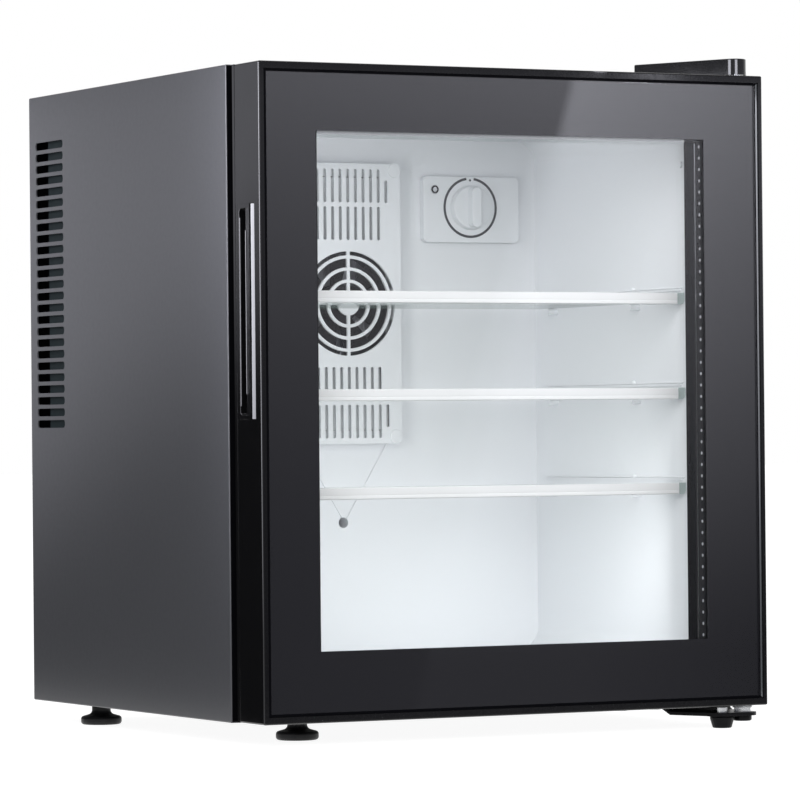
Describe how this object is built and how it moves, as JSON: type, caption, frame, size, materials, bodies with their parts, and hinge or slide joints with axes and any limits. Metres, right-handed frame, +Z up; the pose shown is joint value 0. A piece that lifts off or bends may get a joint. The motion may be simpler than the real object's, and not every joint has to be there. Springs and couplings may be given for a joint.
{
  "type": "minibar fridge",
  "caption": "Compact hotel minibar fridge with a black-framed glass door, white lined interior with glass shelves, side vents, hinge cover on top and small levelling feet.",
  "frame": {"origin": "on the floor, under the middle of the whole fridge", "axes": "+X to the viewer's right when facing the door, the hinge side; +Y to the rear; +Z up"},
  "size_m": [0.4, 0.398, 0.4785],
  "materials": {
    "dark_painted_metal": "satin",
    "plain_steel": "brushed",
    "foam": "matte",
    "white_plastic": "semi-gloss",
    "black_plastic": "matte",
    "gloss_black": "gloss",
    "bare_aluminium": "satin",
    "module_ceramic": "matte",
    "plated_steel": "polished",
    "shelf_glass": "clear",
    "lamp_lens": "clear",
    "board_green": "matte",
    "door_glass": "clear",
    "border_print": "gloss",
    "spacer_bar": "satin",
    "grey_rubber": "matte"
  },
  "bodies": {
    "cabinet": {"outer_wrapper": "dark_painted_metal", "bottom_panel": "dark_painted_metal", "rear_panel": "dark_painted_metal", "bay_panel": "plain_steel", "foam_insulation": "foam", "inner_liner": "white_plastic", "drain_tube": "white_plastic", "evaporation_tray": "black_plastic", "fan_cover": "white_plastic", "cold_fan_frame": "black_plastic", "cold_sink": "bare_aluminium", "spacer_block": "bare_aluminium", "cooling_module": "module_ceramic", "hot_sink": "bare_aluminium", "hot_fan_frame": "black_plastic", "power_supply": "plain_steel", "cord_gland": "black_plastic", "thermostat_switch": "black_plastic", "thermostat_plate": "white_plastic", "cover_screws": "plated_steel", "top_shelf_glass": "shelf_glass", "middle_shelf_glass": "shelf_glass", "bottom_shelf_glass": "shelf_glass", "top_shelf_trim": "white_plastic", "middle_shelf_trim": "white_plastic", "bottom_shelf_trim": "white_plastic", "shelf_pegs": "white_plastic", "lamp_lens": "lamp_lens", "lamp_board": "board_green", "lamp_button": "white_plastic", "foot_nuts": "plated_steel", "top_hinge_plate": "plated_steel", "top_hinge_pin": "plated_steel", "top_hinge_bolts": "plated_steel", "top_hinge_cover": "gloss_black", "bottom_hinge_bracket": "dark_painted_metal", "bottom_hinge_pin": "plated_steel", "bottom_hinge_nut": "black_plastic", "bottom_hinge_bolts": "plated_steel"},
    "door": {"door_frame": "gloss_black", "handle_insert": "gloss_black", "front_glass": "door_glass", "glass_border": "border_print", "glass_spacer": "spacer_bar", "rear_glass": "door_glass", "door_retainer": "gloss_black", "door_gasket": "grey_rubber", "top_bush": "white_plastic", "bottom_bush": "white_plastic"},
    "knob": {"thermostat_knob": "white_plastic"},
    "cold_impeller": {"cold_fan_impeller": "black_plastic"},
    "hot_impeller": {"hot_fan_impeller": "black_plastic"},
    "hinge_foot": {"front_right_foot": "black_plastic", "front_right_stud": "plated_steel"},
    "front_left_leveller": {"front_left_foot": "black_plastic"},
    "rear_left_leveller": {"rear_left_foot": "black_plastic"},
    "rear_right_leveller": {"rear_right_foot": "black_plastic"}
  },
  "joints": [
    {"name": "door_hinge", "type": "hinge", "parent": "cabinet", "child": "door", "pos_m": [0.187, -0.185, 0.24], "axis": [0, 0, 1], "range_deg": [0, 120]},
    {"name": "thermostat_turn", "type": "hinge", "parent": "cabinet", "child": "knob", "pos_m": [0.107, 0.062, 0.383], "axis": [0, 1, 0], "range_deg": [0, 270]},
    {"name": "cold_fan_spin", "type": "hinge", "parent": "cabinet", "child": "cold_impeller", "pos_m": [0, 0.082, 0.30975], "axis": [0, 1, 0], "continuous": true},
    {"name": "hot_fan_spin", "type": "hinge", "parent": "cabinet", "child": "hot_impeller", "pos_m": [0, 0.175, 0.30975], "axis": [0, 1, 0], "continuous": true},
    {"name": "front_left_foot_turn", "type": "hinge", "parent": "cabinet", "child": "front_left_leveller", "pos_m": [-0.138, -0.123, 0.015], "axis": [0, 0, 1], "continuous": true},
    {"name": "rear_left_foot_turn", "type": "hinge", "parent": "cabinet", "child": "rear_left_leveller", "pos_m": [-0.18, 0.119, 0.015], "axis": [0, 0, 1], "continuous": true},
    {"name": "rear_right_foot_turn", "type": "hinge", "parent": "cabinet", "child": "rear_right_leveller", "pos_m": [0.18, 0.119, 0.015], "axis": [0, 0, 1], "continuous": true},
    {"name": "hinge_foot_turn", "type": "hinge", "parent": "cabinet", "child": "hinge_foot", "pos_m": [0.17, -0.185, 0.01], "axis": [0, 0, 1], "continuous": true}
  ]
}
